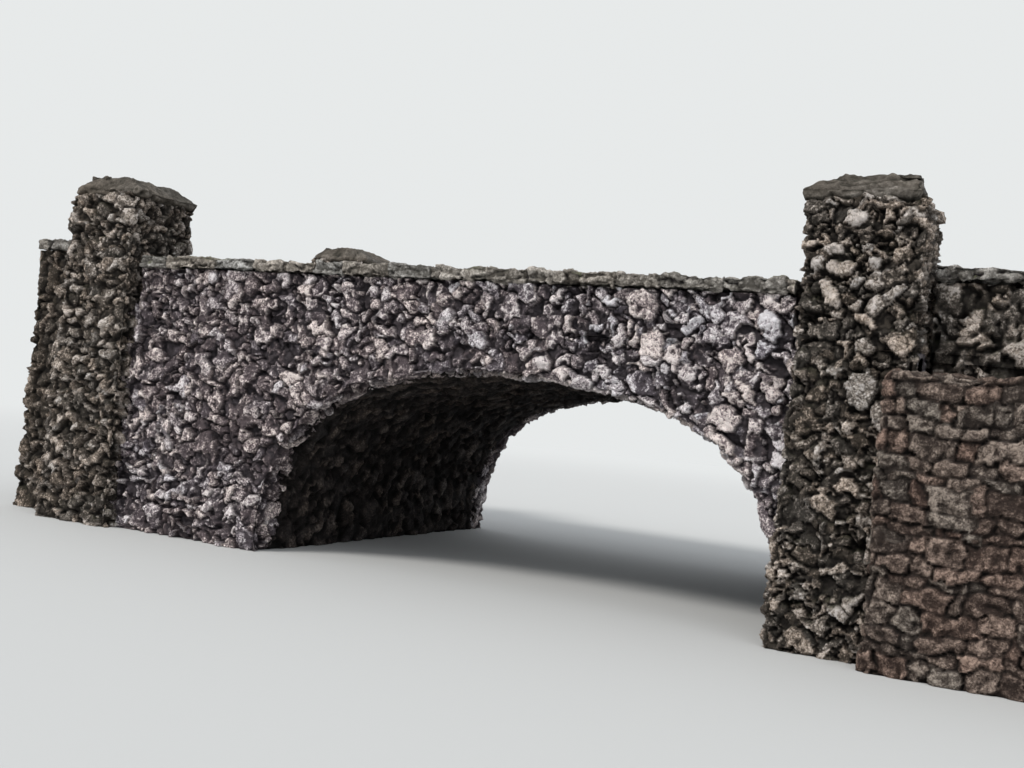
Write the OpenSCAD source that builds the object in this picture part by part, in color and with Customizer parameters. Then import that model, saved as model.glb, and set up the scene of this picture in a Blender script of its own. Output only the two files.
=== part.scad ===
// Rustic park bridge of knobbly stone: one wide low arch under a road, walled on both sides,
// with four capped piers, wing walls and low retaining walls. Millimetres, +Z up.
// X runs along the road, Y through the arch, and the middle of the arch's foot is the origin.

/* [Arch] */
// Clear width of the arch at its feet
span = 6700; // [5600:50:7800]
// Height of the upright feet of the arch
spring_z = 400; // [200:5:800]
// Rise of the arch above its upright feet
rise = 2150; // [1900:5:2600]
// Thickness of the arch, from its underside to its back
ring_t = 400; // [300:10:450]

/* [Walls] */
// Depth over the two front walls
depth = 6500; // [5000:50:8000]
// Thickness of the front walls, wing walls and parapets
wall_t = 450; // [350:10:600]
// Height of the road
deck_z = 3100; // [3000:10:3300]
// Thickness of the road's stone surface
road_t = 100; // [60:5:120]
// Height of the parapets above the road
parapet_h = 540; // [400:10:900]
// Length of each half, from the middle of the arch to the end of the wing walls
half_length = 8200; // [7600:50:9000]
// How far the wing walls stand back from the front walls
wing_setback = 300; // [100:10:500]
// How much higher the wing parapets are than the middle ones
wing_step = 230; // [0:10:300]
// Height of the arch's abutments
abutment_h = 1500; // [1200:10:2200]

/* [Coping] */
// Thickness of the coping
coping_t = 170; // [100:5:240]
// Overhang of the coping on both sides
coping_over = 60; // [20:5:100]

/* [Piers] */
// Width of a pier at its eaves
pier_w = 1330; // [1000:10:1400]
// Depth of a pier at its eaves
pier_d = 1200; // [1000:10:1400]
// How far a pier stands out from the front wall at its eaves
pier_proj = 200; // [120:10:300]
// How much wider a pier is at its foot, on each side
batter = 20; // [10:5:120]
// How far the near piers stand in front of the opening
pier_lap = 70; // [0:10:150]
// Height of a pier's eaves
eave_z = 4600; // [4200:10:4700]
// Height of a pier's hipped cap
cap_h = 330; // [250:10:500]
// Height of a cap's upright edge, below its hips
cap_lip = 120; // [40:5:150]
// How far the flat top of a cap lies in from the pier's faces
cap_inset = 240; // [150:10:320]
// The same on the side of the arch, where the cap slopes more gently
cap_slope = 370; // [150:10:450]
// How far a cap's outer edge stands in from the pier's face
cap_short = 120; // [0:10:140]
// Clear distance from the middle of the arch to the far pier's foot
far_pier_x = 5770; // [5400:10:6000]
// Thickness of the flat stone let into a cap
slab_t = 90; // [50:5:120]
// Length of that stone along the road
slab_w = 330; // [200:10:500]
// Depth of that stone across the road
slab_d = 420; // [200:10:600]
// Overhang of that stone past the flat top
slab_over = 60; // [0:5:90]

/* [Low walls] */
// Height of the low retaining walls
low_h = 2900; // [2000:10:3000]
// Thickness of the low retaining walls in front of a pier
low_t = 330; // [250:10:500]
// How far the low walls reach across the pier's foot
low_lap = 340; // [200:10:700]

/* [Hidden] */
$fn = 96;
a = span / 2;
// the arch's three centres lie on two 7-24-25 triangles with corners at whole millimetres
leg = 25 * round(0.04 * (a - rise) / 0.24);
haunch_x = 0.28 * leg;
haunch_r = a - haunch_x;
crown_r = haunch_r + leg;
crown_z = spring_z - 0.96 * leg;
// the haunches join the crown on the triangles' long sides, drawn on past the arch's back
join = 50 * ceil(0.04 * (crown_r + ring_t));
join_x = 0.28 * join;
join_z = crown_z + 0.96 * join;
face = depth / 2;
inner = face - wall_t;
wing_face = face - wing_setback;
wing_inner = wing_face - wall_t;
parapet_z = deck_z + parapet_h;
wing_z = parapet_z + wing_step;
near_x = a - pier_lap + batter + pier_w / 2;
far_x = -(far_pier_x + batter + pier_w / 2);
near_end = near_x + batter + pier_w / 2;
far_end = far_x - batter - pier_w / 2;
pier_y = face + pier_proj - pier_d / 2;
stretch = (near_x - far_x - pier_w) / 3;
coping_x = near_x - pier_w / 2;
road_z = deck_z - road_t;
eps = 1;

// box between two X, two Y and two Z
module block(x0, x1, y0, y1, z0, z1) {
    translate([x0, y0, z0]) cube([x1 - x0, y1 - y0, z1 - z0]);
}

// level round bar along Y
module bar(x, z, r, y0, y1) {
    translate([x, y0, z]) rotate([-90, 90, 0]) cylinder(r = r, h = y1 - y0);
}

// upright slab from y0 to y1 with this outline in X and Z
module slab(points, y0, y1) {
    translate([0, y1, 0]) rotate([90, 0, 0]) linear_extrude(y1 - y0) polygon(points);
}

// one haunch of the arch's hollow, on the +X side
module haunch(e, y0, y1) {
    intersection() {
        bar(haunch_x, spring_z, haunch_r + e, y0, y1);
        slab([
            [haunch_x, spring_z], [2 * a, spring_z],
            [2 * a, join_z], [join_x, join_z]], y0, y1);
    }
}

// the arch's hollow from y0 to y1, grown by e all round its curve, above height z0
module hollow(e, y0, y1, z0) {
    union() {
        intersection() {
            bar(0, crown_z, crown_r + e, y0, y1);
            slab([
                [-haunch_x, spring_z], [haunch_x, spring_z],
                [join_x, join_z], [-join_x, join_z]], y0, y1);
        }
        haunch(e, y0, y1);
        mirror([1, 0, 0]) haunch(e, y0, y1);
        if (z0 < spring_z) {
            block(-a - e, a + e, y0, y1, z0, spring_z);
        }
    }
}

// block whose front view and side view have these outlines
module two_views(front, side) {
    intersection() {
        translate([0, pier_d, 0]) rotate([90, 0, 0]) linear_extrude(2 * pier_d) polygon(front);
        rotate([90, 0, 90]) translate([0, 0, -pier_w]) linear_extrude(2 * pier_w) polygon(side);
    }
}

// outline of a shaft that is w wide at the eaves
function shaft_outline(w) = [
    [-w / 2 - batter, 0], [w / 2 + batter, 0], [w / 2, eave_z], [-w / 2, eave_z]];

// outline of a cap from x0 to x1, upright at its edges, with a flat top from x2 to x3
function cap_outline(x0, x1, x2, x3) = [
    [x0, eave_z], [x1, eave_z], [x1, eave_z + cap_lip],
    [x3, eave_z + cap_h], [x2, eave_z + cap_h], [x0, eave_z + cap_lip]];

// whole pier shaft, centred on its plan
module shaft() {
    two_views(shaft_outline(pier_w), shaft_outline(pier_d));
}

// child at a front pier's place, x being near_x or far_x
module placed(x) {
    translate([x, -pier_y, 0]) children();
}

// pier of the front: a facing below the road, a full shaft above it
module pier(x) {
    difference() {
        placed(x) shaft();
        block(x - pier_w, x + pier_w, -face, 0, -eps, deck_z);
    }
}

// seat of the flat stone in a cap, grown by g upward
module cap_seat(g) {
    x1 = pier_w / 2 - cap_inset + slab_over;
    y0 = cap_inset - pier_d / 2 - slab_over;
    block(x1 - slab_w, x1, y0, y0 + slab_d,
        eave_z + cap_h - slab_t, eave_z + cap_h + g);
}

// cap of a pier on the +X side, lower towards the arch
module cap(x) {
    w = pier_w / 2;
    d = pier_d / 2;
    placed(x) difference() {
        two_views(
            cap_outline(-w, w - cap_short, cap_slope - w, w - cap_inset),
            cap_outline(-d, d, cap_inset - d, d - cap_inset));
        cap_seat(eps);
    }
}

module cap_stone(x) {
    placed(x) cap_seat(0);
}

// straight wall of the front between the arch's back and x1
module front_wall(x0, x1) {
    difference() {
        block(x0, x1, -face, -inner, 0, deck_z);
        hollow(ring_t, -face - eps, -inner + eps, -eps);
    }
}

module wing(x0, x1) {
    block(x0, x1, -wing_face, -wing_inner, 0, deck_z);
}

module wing_parapet(x0, x1, x) {
    difference() {
        block(x0, x1, -wing_face, -wing_inner, deck_z, wing_z);
        placed(x) shaft();
    }
}

module wing_coping(x0, x1, x) {
    difference() {
        block(x0, x1, -wing_face - coping_over, -wing_inner + coping_over,
            wing_z, wing_z + coping_t);
        placed(x) shaft();
    }
}

module coping(x0, x1) {
    difference() {
        block(x0, x1, -face - coping_over, -inner + coping_over,
            parapet_z, parapet_z + coping_t);
        placed(near_x) shaft();
        placed(far_x) shaft();
    }
}

module parapet() {
    difference() {
        block(far_x, near_x, -face, -inner, deck_z, parapet_z);
        placed(near_x) shaft();
        placed(far_x) shaft();
    }
}

module ring() {
    difference() {
        hollow(ring_t, -face, -inner, 0);
        hollow(0, -face - eps, -inner + eps, -eps);
    }
}

module low_wall() {
    difference() {
        union() {
            block(near_end - low_lap, half_length,
                -face - pier_proj - batter - low_t, -face, 0, low_h);
            block(near_end, half_length, -face - eps, -wing_face, 0, low_h);
        }
        placed(near_x) shaft();
    }
}

module abutment() {
    difference() {
        block(a, near_end, -inner, inner, 0, abutment_h);
        hollow(ring_t, -inner - eps, inner + eps, spring_z);
    }
}

// fill behind the walls, from the middle of the arch to x1
module core(x_end) {
    difference() {
        union() {
            block(0, x_end, -inner, inner, 0, road_z);
            block(x_end - eps, half_length, -wing_inner, wing_inner, 0, road_z);
        }
        hollow(ring_t, -inner - eps, inner + eps, -eps);
        block(-eps, near_end, -inner - eps, inner + eps, -eps, spring_z);
        block(a, near_end, -inner - eps, inner + eps, spring_z - eps, abutment_h);
    }
}

module abutment_left() color("dimgray") mirror([1, 0, 0]) abutment();
module abutment_right() color("dimgray") abutment();
module arch_barrel() color("rosybrown") difference() {
    hollow(ring_t, -inner, inner, spring_z);
    hollow(0, -inner - eps, inner + eps, spring_z - eps);
}
module arch_ring_front() color("silver") ring();
module arch_ring_back() color("silver") mirror([0, 1, 0]) ring();
module front_wall_left() color("gray") front_wall(far_end, 0);
module front_wall_right() color("gray") front_wall(0, near_end);
module back_wall_left() color("gray") mirror([0, 1, 0]) front_wall(far_end, 0);
module back_wall_right() color("gray") mirror([0, 1, 0]) front_wall(0, near_end);
module wing_front_left() color("dimgray") wing(-half_length, far_end);
module wing_front_right() color("dimgray") wing(near_end, half_length);
module wing_back_left() color("dimgray") mirror([0, 1, 0]) wing(-half_length, far_end);
module wing_back_right() color("dimgray") mirror([0, 1, 0]) wing(near_end, half_length);
module core_left() color("sienna") mirror([1, 0, 0]) core(-far_end);
module core_right() color("sienna") core(near_end);
module road() color("tan") union() {
    block(far_end, near_end, -inner, inner, road_z, deck_z);
    block(-half_length, half_length, -wing_inner, wing_inner, road_z, deck_z);
}
module parapet_front() color("gray") parapet();
module parapet_back() color("gray") mirror([0, 1, 0]) parapet();
module wing_parapet_front_left() color("dimgray") wing_parapet(-half_length, far_x, far_x);
module wing_parapet_front_right() color("dimgray") wing_parapet(near_x, half_length, near_x);
module wing_parapet_back_left() color("dimgray") mirror([0, 1, 0])
    wing_parapet(-half_length, far_x, far_x);
module wing_parapet_back_right() color("dimgray") mirror([0, 1, 0])
    wing_parapet(near_x, half_length, near_x);
module coping_front_left() color("darkkhaki") coping(far_x, coping_x - 2 * stretch);
module coping_front_mid() color("darkkhaki") coping(coping_x - 2 * stretch, coping_x - stretch);
module coping_front_right() color("darkkhaki") coping(coping_x - stretch, near_x);
module coping_back_left() color("darkkhaki") mirror([0, 1, 0]) coping(far_x, coping_x - 2 * stretch);
module coping_back_mid() color("darkkhaki") mirror([0, 1, 0])
    coping(coping_x - 2 * stretch, coping_x - stretch);
module coping_back_right() color("darkkhaki") mirror([0, 1, 0]) coping(coping_x - stretch, near_x);
module wing_coping_front_left() color("darkkhaki") wing_coping(-half_length, far_x, far_x);
module wing_coping_front_right() color("darkkhaki") wing_coping(near_x, half_length, near_x);
module wing_coping_back_left() color("darkkhaki") mirror([0, 1, 0])
    wing_coping(-half_length, far_x, far_x);
module wing_coping_back_right() color("darkkhaki") mirror([0, 1, 0])
    wing_coping(near_x, half_length, near_x);
module pier_front_left() color("saddlebrown") pier(far_x);
module pier_front_right() color("saddlebrown") pier(near_x);
module pier_back_left() color("saddlebrown") mirror([0, 1, 0]) pier(far_x);
module pier_back_right() color("saddlebrown") mirror([0, 1, 0]) pier(near_x);
module cap_front_left() color("peru") mirror([1, 0, 0]) cap(-far_x);
module cap_front_right() color("peru") cap(near_x);
module cap_back_left() color("peru") rotate([0, 0, 180]) cap(-far_x);
module cap_back_right() color("peru") mirror([0, 1, 0]) cap(near_x);
module cap_stone_front_left() color("slategray") mirror([1, 0, 0]) cap_stone(-far_x);
module cap_stone_front_right() color("slategray") cap_stone(near_x);
module cap_stone_back_left() color("slategray") rotate([0, 0, 180]) cap_stone(-far_x);
module cap_stone_back_right() color("slategray") mirror([0, 1, 0]) cap_stone(near_x);
module low_wall_front() color("rosybrown") low_wall();
module low_wall_back() color("rosybrown") mirror([0, 1, 0]) low_wall();

abutment_left();
abutment_right();
arch_barrel();
arch_ring_front();
arch_ring_back();
front_wall_left();
front_wall_right();
back_wall_left();
back_wall_right();
wing_front_left();
wing_front_right();
wing_back_left();
wing_back_right();
core_left();
core_right();
road();
parapet_front();
parapet_back();
wing_parapet_front_left();
wing_parapet_front_right();
wing_parapet_back_left();
wing_parapet_back_right();
coping_front_left();
coping_front_mid();
coping_front_right();
coping_back_left();
coping_back_mid();
coping_back_right();
wing_coping_front_left();
wing_coping_front_right();
wing_coping_back_left();
wing_coping_back_right();
pier_front_left();
pier_front_right();
pier_back_left();
pier_back_right();
cap_front_left();
cap_front_right();
cap_back_left();
cap_back_right();
cap_stone_front_left();
cap_stone_front_right();
cap_stone_back_left();
cap_stone_back_right();
low_wall_front();
low_wall_back();
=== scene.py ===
import math
from collections import namedtuple

import bpy
import numpy as np
from mathutils import Matrix, Vector
from mathutils.geometry import tessellate_polygon


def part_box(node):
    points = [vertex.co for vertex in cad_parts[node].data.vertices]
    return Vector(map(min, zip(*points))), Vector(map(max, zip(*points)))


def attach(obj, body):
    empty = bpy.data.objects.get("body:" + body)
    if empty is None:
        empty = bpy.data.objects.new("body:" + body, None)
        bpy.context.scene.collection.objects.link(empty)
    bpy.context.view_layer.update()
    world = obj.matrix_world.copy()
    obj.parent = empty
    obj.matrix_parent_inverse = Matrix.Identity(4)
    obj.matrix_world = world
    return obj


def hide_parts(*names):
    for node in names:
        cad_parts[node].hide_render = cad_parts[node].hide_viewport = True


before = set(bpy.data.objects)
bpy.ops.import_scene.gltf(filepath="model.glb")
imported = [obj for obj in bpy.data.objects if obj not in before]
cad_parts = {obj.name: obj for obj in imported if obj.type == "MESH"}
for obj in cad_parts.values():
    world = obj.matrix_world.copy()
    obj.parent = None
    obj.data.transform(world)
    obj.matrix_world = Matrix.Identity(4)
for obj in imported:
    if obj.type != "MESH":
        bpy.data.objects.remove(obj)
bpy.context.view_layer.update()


# Sizes in metres, from the CAD nodes
def low(node):
    return np.array(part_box(node)[0])


def high(node):
    return np.array(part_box(node)[1])


HALF = low("abutment_right")[0]                  # half of the clear width
RING = high("arch_barrel")[0] - HALF             # thickness of the arch
FACE = -low("arch_ring_front")[1]                # front walls' outer face
INNER = high("arch_barrel")[1]                   # front walls' inner face
SPRING = low("arch_barrel")[2]
CROWN = high("arch_barrel")[2] - RING
DECK = high("road")[2]
END = high("road")[0]
EAVE = high("pier_front_right")[2]

# The arch's centres lie on 7-24-25 triangles, so half the width less the rise is 6/25 of the long side
SIDEWAYS, UPWARD = 7 / 25, 24 / 25
LEG = (HALF - (CROWN - SPRING)) / (6 / 25)
HAUNCH_X = SIDEWAYS * LEG
HAUNCH_R = HALF - HAUNCH_X
CROWN_R = HAUNCH_R + LEG
CROWN_Z = SPRING - UPWARD * LEG
HAUNCH_TURN = math.atan2(24, 7)
HAUNCH_LONG = HAUNCH_R * HAUNCH_TURN
CROWN_LONG = CROWN_R * (math.pi - 2 * HAUNCH_TURN) / 2
UNDERSIDE = 2 * (SPRING + HAUNCH_LONG + CROWN_LONG)

# Caps
LIP = 0.12                                       # upright edge, below the hips
TOP_IN, ARCH_IN = 0.24, 0.37                     # from the pier's face to the flat top, and towards the arch
SHORT = 0.12                                     # how far the outer edge lies in from the pier's face

# Sample distances, finest at the front, which the photograph shows
FINE = 0.0165
MID, WIDE, ROAD = 2 * FINE, 3 * FINE, 0.11
STEP = {"front": FINE, "back": 1.25 * MID}
PIER_STEP = {"front_right": 1.2 * FINE, "front_left": 1.6 * FINE, "back_right": MID, "back_left": MID}
LOW_STEP = {"front": 1.3 * FINE, "back": WIDE}
RUN_ON = 1.5                                     # steps that a surface runs on past a hidden seam
SUNK = 0.006                                     # how far it then lies under its neighbour
TOUCH = 1e-5                                     # what is this near to a seam counts as on it

# Which way a side and an end face
OUT = {"front": -1, "back": 1}
OUTER = {"front": "y-", "back": "y+"}
FAR = {"left": "x-", "right": "x+"}
AROUND = {"x-", "x+", "y-", "y+"}

# Seeded numbers, a row for each stone
rng = np.random.RandomState(11)
SIZE = 8192
TAB = rng.rand(SIZE + 1, 12)
PLACE, GROWTH, LIFT, KEPT, TONE, HUE, GAP = slice(0, 3), 3, 4, 5, 6, 8, 9
SLOPE = slice(7, 10)


def turned(count):
    """Random rotations."""
    q = rng.randn(count, 4)
    q /= np.linalg.norm(q, axis=1)[:, None]
    w, x, y, z = q.T
    rows = [1 - 2 * (y * y + z * z), 2 * (x * y - z * w), 2 * (x * z + y * w),
            2 * (x * y + z * w), 1 - 2 * (x * x + z * z), 2 * (y * z - x * w),
            2 * (x * z - y * w), 2 * (y * z + x * w), 1 - 2 * (x * x + y * y)]
    return np.stack(rows, 1).reshape(-1, 3, 3)


TURN = turned(SIZE)


def row_of(cell, seed):
    """A cell's row in the table of seeded numbers."""
    h = (cell[:, 0] * 73856093) ^ (cell[:, 1] * 19349663) ^ (cell[:, 2] * 83492791) ^ (seed * 2654435)
    h ^= h >> 15
    h *= 40503
    h ^= h >> 11
    return h & (SIZE - 1)


def noise(p, size, seed):
    """Smooth noise, -1 to 1."""
    q = p / size
    i = np.floor(q).astype(np.int64)
    f = q - i
    f = f * f * (3 - 2 * f)
    g = 1 - f
    out = np.zeros(len(p))
    for dx in (0, 1):
        for dy in (0, 1):
            for dz in (0, 1):
                k = row_of(i + np.array([dx, dy, dz]), seed)
                weight = (f if dx else g)[:, 0] * (f if dy else g)[:, 1] * (f if dz else g)[:, 2]
                out += weight * (TAB[k, GAP] * 2 - 1)
    return out


def noise3(p, size, seed):
    return np.stack([noise(p, size, seed), noise(p, size, seed + 1), noise(p, size, seed + 2)], 1)


def fold(p, size, seed):
    """Noise with sharp ridges, mostly 0 to 1."""
    return 1 - np.abs(noise(p, size, seed)) * 1.6


def ridges(p, size, seed):
    """Noise with sharp ridges, about zero."""
    return fold(p, size, seed) - 0.6


def ease(a, b, x):
    """0 before a, 1 past b, smooth in between."""
    t = np.clip((x - a) / (b - a), 0, 1)
    return t * t * (3 - 2 * t)


def stirred(p, *waves):
    """Points moved by noise. A wave is how far, at what size and with what seed."""
    out = p
    for reach, size, seed in waves:
        out = out + reach * noise3(p, size, seed)
    return out


SQUASH = np.array([1.0, 0.74, 0.6])              # a stone's three half sizes, in cells
FLATTENED = 0.45                                 # share of the way along the normal that isn't counted


def packed(p, n, cell, seed, stretch=(1, 1, 1)):
    """Closely packed stones, each nearest in its own turned and squashed measure.

    Gives which stone, how far out from its middle, how near the seam, and the way from its middle."""
    p = p / np.array(stretch, float)
    n = n / np.array(stretch, float)
    square = (n * n).sum(1)
    first = np.full(len(p), 9.0)
    second = np.full(len(p), 9.0)
    who = np.zeros(len(p), np.int64)
    way = np.zeros_like(p)
    base = np.floor(p / cell).astype(np.int64)
    for dx in (-1, 0, 1):
        for dy in (-1, 0, 1):
            for dz in (-1, 0, 1):
                c = base + np.array([dx, dy, dz])
                k = row_of(c, seed)
                t = TAB[k]
                d = p - (c + 0.5 + 0.9 * (t[:, PLACE] - 0.5)) * cell
                d = d - n * (FLATTENED * (d * n).sum(1) / square)[:, None]
                b = np.einsum("nij,nj->ni", TURN[k], d) / SQUASH
                f = np.sqrt((b * b).sum(1)) / cell / (0.75 + 0.5 * t[:, GROWTH])
                new = f < first
                second = np.where(new, first, np.minimum(second, f))
                first = np.where(new, f, first)
                who = np.where(new, k, who)
                way = np.where(new[:, None], d, way)
    return who, first, second - first, way


# Meshes
class Shell:
    """Vertices, quads and triangles of one piece. Only the faces that show carry relief."""

    def __init__(self):
        self.parts = []
        self.count = 0

    def add(self, vertices, quads, triangles, shown):
        self.parts.append((vertices, quads + self.count, triangles + self.count, shown))
        self.count += len(vertices)

    def arrays(self):
        return [np.concatenate(a) for a in zip(*self.parts)]


def cuts(a, b, step):
    """Sample lines from a to b, on the same multiples of step in every piece, so that neighbours meet."""
    k = np.arange(math.floor(a / step), math.ceil(b / step) + 1) * step
    return np.concatenate([[a], k[(k > a + 0.3 * step) & (k < b - 0.3 * step)], [b]])


FACES = {"x-": (0, 0), "x+": (0, 1), "y-": (1, 0), "y+": (1, 1), "z-": (2, 0), "z+": (2, 1)}


def layer(dims, axis, side):
    """Index of a box's outermost points on one face."""
    sel = [slice(None)] * 3
    sel[axis] = dims[axis] - 1 if side else 0
    return tuple(sel)


def rounded(p, lines, shows, radius):
    """Points of a box with its shown edges rounded."""
    inner = np.array([lines[k][0] + (radius if "xyz"[k] + "-" in shows else 0) for k in range(3)])
    outer = np.array([lines[k][-1] - (radius if "xyz"[k] + "+" in shows else 0) for k in range(3)])
    near = np.clip(p, np.minimum(inner, outer), np.maximum(inner, outer))
    way = p - near
    length = np.linalg.norm(way, axis=1)
    moved = near + way * (radius / np.maximum(length, 1e-9))[:, None]
    return np.where(length[:, None] > 1e-9, moved, p)


def brick(shell, xs, ys, zs, shows, radius=0.07, place=None, bent=False):
    """Box with sample lines xs, ys, zs. Faces in shows get a grid, the others a fan, or strips where bent.

    Shown edges are rounded, and place then moves each point."""
    lines = [np.asarray(a, float) for a in (xs, ys, zs)]
    dims = [len(a) for a in lines]
    ids = np.full(dims, -1, np.int64)
    points, quads, triangles, shown = [], [], [], []
    count = 0

    def number(sel):
        nonlocal count
        block = ids[sel]
        new = block < 0
        block[new] = np.arange(count, count + new.sum())
        ids[sel] = block
        free = iter(np.argwhere(new).T)
        at = [next(free) if isinstance(sel[k], slice) else np.full(new.sum(), sel[k]) for k in range(3)]
        points.append(np.stack([lines[k][at[k]] for k in range(3)], 1))
        count += int(new.sum())

    for name, (axis, side) in FACES.items():
        sel = layer(dims, axis, side)
        if name in shows:
            number(sel)
            continue
        for other in range(3):
            if other != axis and not (bent and 0 in (other, axis)):
                for end in (0, dims[other] - 1):
                    number(sel[:other] + (end,) + sel[other + 1:])
    for name, (axis, side) in FACES.items():
        g = ids[layer(dims, axis, side)]
        turn = slice(None, None, -1 if (side == 0) ^ (axis == 1) else 1)
        if name in shows or (bent and axis != 0):
            g = g if name in shows else g[:, [0, -1]]
            q = np.stack([g[:-1, :-1], g[1:, :-1], g[1:, 1:], g[:-1, 1:]], -1).reshape(-1, 4)
            quads.append(q[:, turn])
            shown.append(np.full(len(q), name in shows))
            continue
        loop = np.concatenate([g[:, 0], g[-1, 1:], g[-2::-1, -1], g[0, -2:0:-1]])
        loop = loop[loop >= 0]
        middle = [(a[0] + a[-1]) / 2 for a in lines]
        middle[axis] = lines[axis][-1 if side else 0]
        points.append(np.array([middle]))
        triangles.append(np.stack([loop, np.roll(loop, -1), np.full(len(loop), count)], 1)[:, turn])
        count += 1
    p = rounded(np.vstack(points), lines, shows, radius)
    none = np.zeros((0, 4), int)
    shell.add(place(p) if place else p, np.vstack(quads + [none]), np.vstack(triangles + [none[:, :3]]),
              np.concatenate(shown + [np.zeros(0, bool)]))


def arch_distance(x, z, grown):
    """Signed distance outside the arch's hollow, grown by that much."""
    x = np.abs(x)
    haunch = np.hypot(x - HAUNCH_X, z - SPRING) - (HAUNCH_R + grown)
    crown = np.hypot(x, z - CROWN_Z) - (CROWN_R + grown)
    over = np.where((x - HAUNCH_X) * UPWARD > (z - SPRING) * SIDEWAYS, haunch, crown)
    return np.where(z < SPRING, x - (HALF + grown), over)


def along_arch(p):
    """From (along the arch's underside, out of it, y) to place. Along starts at the right foot."""
    s, t = p[:, 0], p[:, 1]
    left = s > UNDERSIDE / 2
    m = np.where(left, UNDERSIDE - s, s)
    a = np.clip((m - SPRING) / HAUNCH_R, 0, None)
    b = HAUNCH_TURN + (m - SPRING - HAUNCH_LONG) / CROWN_R
    foot, crown = m < SPRING, m > SPRING + HAUNCH_LONG
    haunch_x, haunch_z = HAUNCH_X + (HAUNCH_R + t) * np.cos(a), SPRING + (HAUNCH_R + t) * np.sin(a)
    x = np.where(foot, HALF + t, np.where(crown, (CROWN_R + t) * np.cos(b), haunch_x))
    z = np.where(foot, m, np.where(crown, CROWN_Z + (CROWN_R + t) * np.sin(b), haunch_z))
    return np.stack([np.where(left, -1.0, 1.0) * x, p[:, 2], z], 1)


def edges_of(q):
    return np.concatenate([q[:, [0, 1]], q[:, [1, 2]], q[:, [2, 3]], q[:, [3, 0]]])


def longest_rim(q, count):
    """The longest loop of edges that only one quad has."""
    e = edges_of(q)
    key = e[:, 0] * (count + 1) + e[:, 1]
    back = e[:, 1] * (count + 1) + e[:, 0]
    after = {}
    for a, b in e[~np.isin(key, back)].tolist():
        after.setdefault(a, []).append(b)
    loops = []
    while after:
        start = next(iter(after))
        loop = [start]
        b = None
        while b != start:
            a = loop[-1]
            b = after[a].pop()
            if not after[a]:
                del after[a]
            if b != start:
                loop.append(b)
                if b not in after:
                    break
        loops.append(loop)
    return np.array(max(reversed(loops), key=len))


def wall(shell, x0, x1, top, y_face, y_back, step):
    """Upright wall over the arch's back, with a grid on its outer face."""
    x, z = np.meshgrid(cuts(x0, x1, step), cuts(0, top, step), indexing="ij")
    solid = arch_distance(x, z, RING) > -1.6 * step
    cell = solid[:-1, :-1] & solid[1:, :-1] & solid[1:, 1:] & solid[:-1, 1:]
    g = np.arange(x.size).reshape(x.shape)
    q = np.stack([g[:-1, :-1][cell], g[1:, :-1][cell], g[1:, 1:][cell], g[:-1, 1:][cell]], 1)
    used, inverse = np.unique(q, return_inverse=True)
    q = inverse.reshape(q.shape)
    v = np.stack([x.ravel()[used], np.full(len(used), y_face), z.ravel()[used]], 1)
    if y_back < y_face:
        q = q[:, ::-1]
    loop = longest_rim(q, len(v))
    behind = v[loop].copy()
    behind[:, 1] = y_back
    a = np.arange(len(loop))
    b = np.roll(a, -1)
    skirt = np.stack([loop[b], loop[a], len(v) + a, len(v) + b], 1)
    cap = np.array(tessellate_polygon([[Vector((p[0], p[2], 0)) for p in behind]]), int) + len(v)
    corners = np.vstack([v, behind])
    one = corners[cap[0]]
    if np.cross(one[1] - one[0], one[2] - one[0])[1] * (y_back - y_face) < 0:
        cap = cap[:, ::-1]
    shown = np.concatenate([np.ones(len(q), bool), np.zeros(len(skirt), bool)])
    shell.add(corners, np.vstack([q, skirt]), cap, shown)


def normals(v, q):
    """Each vertex's normal from the quads that show, and which vertices have one."""
    c = np.cross(v[q[:, 2]] - v[q[:, 0]], v[q[:, 3]] - v[q[:, 1]])
    out = np.zeros_like(v)
    for k in range(4):
        for a in range(3):
            out[:, a] += np.bincount(q[:, k], c[:, a], len(v))
    length = np.linalg.norm(out, axis=1)
    return np.where(length[:, None] > 1e-12, out / np.maximum(length, 1e-12)[:, None], 0), length > 1e-12


def smooth(h, q, rounds):
    a, b = edges_of(q).T
    shared = np.maximum(np.bincount(a, minlength=len(h)) + np.bincount(b, minlength=len(h)), 1)
    for _ in range(rounds):
        h = (np.bincount(a, h[b], len(h)) + np.bincount(b, h[a], len(h))) / shared * 0.7 + h * 0.3
    return h


# Relief. Each function gives the height along n and the stone's tone, hue and grain at each point
PROUD = 0.012                                    # what stands out further than this is halved
Mark = namedtuple("Mark", "x z half_x half_z turn tone hue lift")


def held_in(h):
    return np.where(h > PROUD, PROUD + (h - PROUD) * 0.5, h)


def three_sizes(w, n, seed, cell, big, stretch):
    """Stones of one size, with patches of small ones and a big one here and there.

    Gives which stone, how far out from its middle, how near the seam, the way from its middle, and if big."""
    small, reach, inset, fall = 0.13, 0.50, 0.06, 1.6
    who, far, seam, way = packed(w, n, cell, seed, stretch)
    who1, far1, seam1, way1 = packed(w, n, small, seed + 47, stretch)
    patch = noise(w, 0.5, seed + 50) > 0.30
    who, seam, far = np.where(patch, who1, who), np.where(patch, seam1, seam), np.where(patch, far1, far)
    way = np.where(patch[:, None], way1, way)
    who2, far2, seam2, way2 = packed(w, n, big, seed + 31, stretch)
    kept = TAB[who2, KEPT] < 0.40
    over = kept & (far2 < reach) & (seam2 > inset)
    beside = np.minimum(seam, np.where(kept, np.abs(far2 - reach) * fall, 9))
    seam = np.where(over, np.minimum(seam2 - inset, (reach - far2) * fall), beside)
    return (np.where(over, who2, who), np.where(over, far2 * 0.8, far), seam,
            np.where(over[:, None], way2, way), over)


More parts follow.
